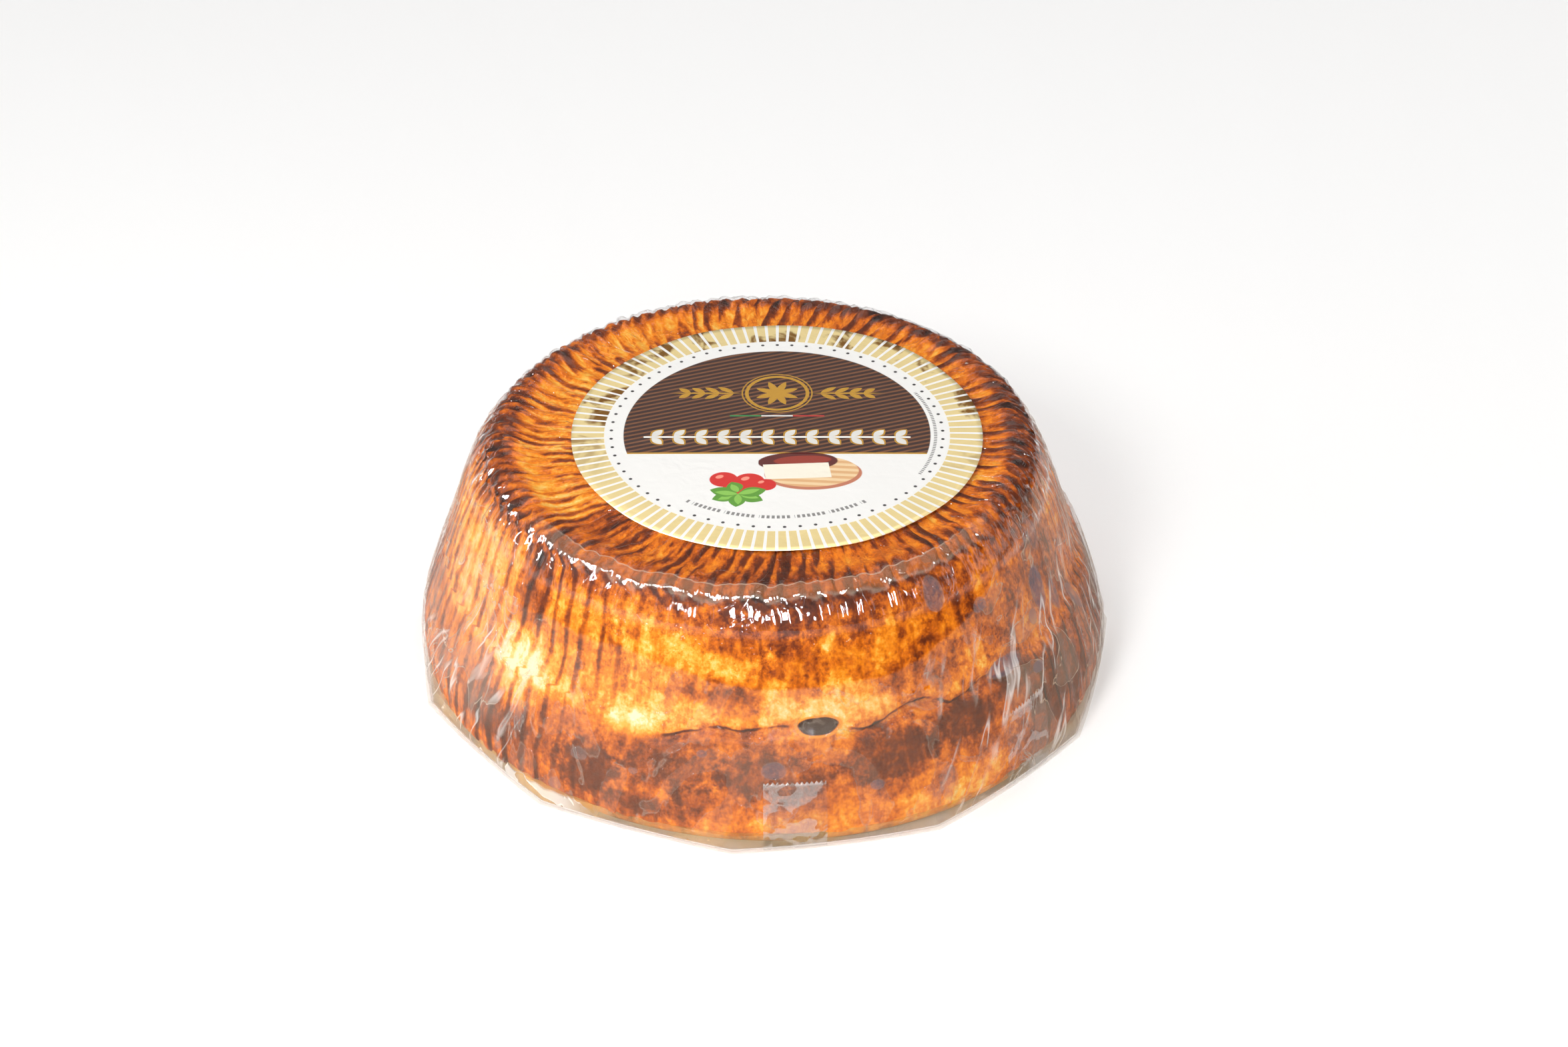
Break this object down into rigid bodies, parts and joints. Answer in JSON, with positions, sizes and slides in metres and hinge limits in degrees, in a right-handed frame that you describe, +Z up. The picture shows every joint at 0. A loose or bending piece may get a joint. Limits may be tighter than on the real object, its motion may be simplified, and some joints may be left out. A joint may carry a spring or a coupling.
{
  "type": "baked cheese wheel",
  "caption": "Round oven-baked ricotta wheel with ribbed, browned rind, wrapped in clear film with a round paper label on top and strips of clear tape at its foot.",
  "frame": {"origin": "centre of the film base's underside, where the wheel rests", "axes": "+Z up through the wheel to its label; -Y is the front, the side towards the foot of the label, with one tape strip just right of its middle"},
  "size_m": [0.2248, 0.2239, 0.0783],
  "materials": {
    "rind": "satin",
    "film": "gloss",
    "whey": "gloss",
    "label": "satin",
    "tape": "gloss"
  },
  "bodies": {
    "root": {"cheese_wheel": "rind", "film_cover": "film", "film_base": "film", "whey": "whey", "label": "label", "tape_strip_front": "tape", "tape_strip_right": "tape"}
  },
  "joints": []
}
